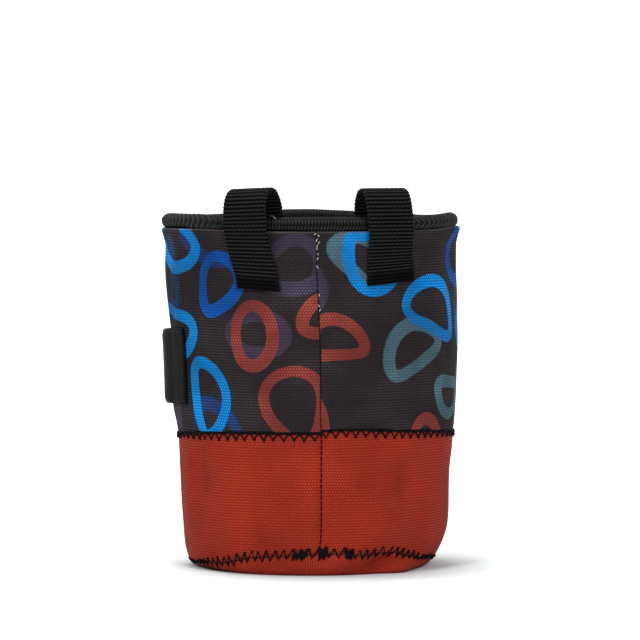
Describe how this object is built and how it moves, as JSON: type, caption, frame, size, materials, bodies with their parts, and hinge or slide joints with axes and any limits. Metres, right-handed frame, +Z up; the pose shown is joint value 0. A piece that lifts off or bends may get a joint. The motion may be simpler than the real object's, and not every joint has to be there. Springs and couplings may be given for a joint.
{
  "type": "climbing chalk bag",
  "caption": "Small round cloth chalk bag with a stiff bound rim, webbing belt loops and an elastic brush sleeve, standing upright.",
  "frame": {"origin": "on the floor under the middle of the bag, at the base's flat underside", "axes": "+Z up through the open mouth, -Y towards the side with the belt loops, +X to the right when facing that side"},
  "size_m": [0.1262, 0.115, 0.1592],
  "materials": {
    "base_cloth": "rust red plain-woven cloth, slightly darker",
    "lower_cloth": "rust red plain-woven cloth, matte",
    "printed_cloth": "charcoal plain-woven cloth with printed outline rings in blue, red, teal and indigo",
    "rim_tape": "black twill binding tape",
    "belt_webbing": "black ribbed webbing",
    "brush_elastic": "black smooth elastic"
  },
  "bodies": {
    "root": {"base_panel": "base_cloth", "lower_panel": "lower_cloth", "upper_panel": "printed_cloth", "rim": "rim_tape", "belt_loop_left": "belt_webbing", "belt_loop_right": "belt_webbing", "brush_sleeve": "brush_elastic"}
  },
  "joints": []
}
